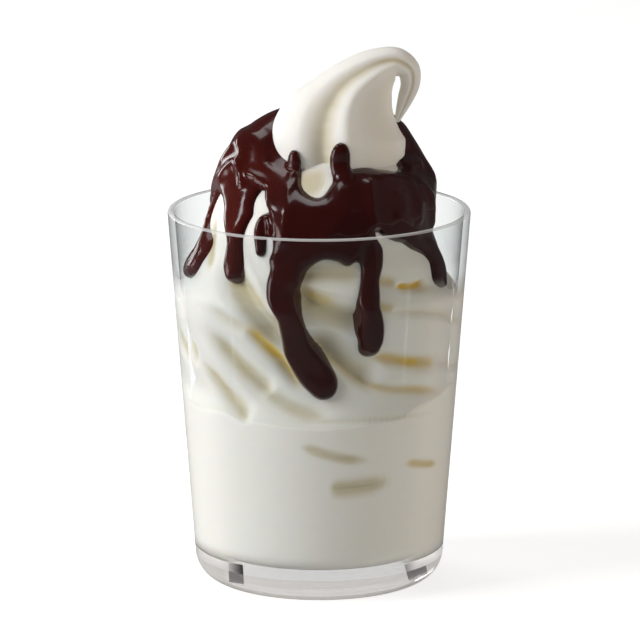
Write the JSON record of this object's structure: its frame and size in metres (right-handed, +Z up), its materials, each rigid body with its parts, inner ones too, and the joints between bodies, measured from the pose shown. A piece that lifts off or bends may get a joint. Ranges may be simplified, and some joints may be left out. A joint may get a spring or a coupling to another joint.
{
  "type": "hot fudge sundae",
  "caption": "Soft serve ice cream pressed into a clear glass tumbler, coiled up to a curled fluted tip, with thick hot fudge poured round the tip and running down inside the glass.",
  "frame": {"origin": "centre of the tumbler's foot, on the surface it stands on", "axes": "+Z up along the tumbler's axis; -Y is the front; +X is the side that the curled tip leans to"},
  "size_m": [0.0848, 0.0848, 0.1517],
  "materials": {
    "glass": "clear, smooth and glossy, with a thick clear base",
    "soft_serve": "cold soft serve ice cream: satin, slightly translucent, creamy white",
    "hot_fudge": "thick chocolate fudge: very dark red-brown, wet and glossy"
  },
  "bodies": {
    "root": {"glass": "glass", "soft_serve": "soft_serve", "hot_fudge": "hot_fudge"}
  },
  "joints": []
}
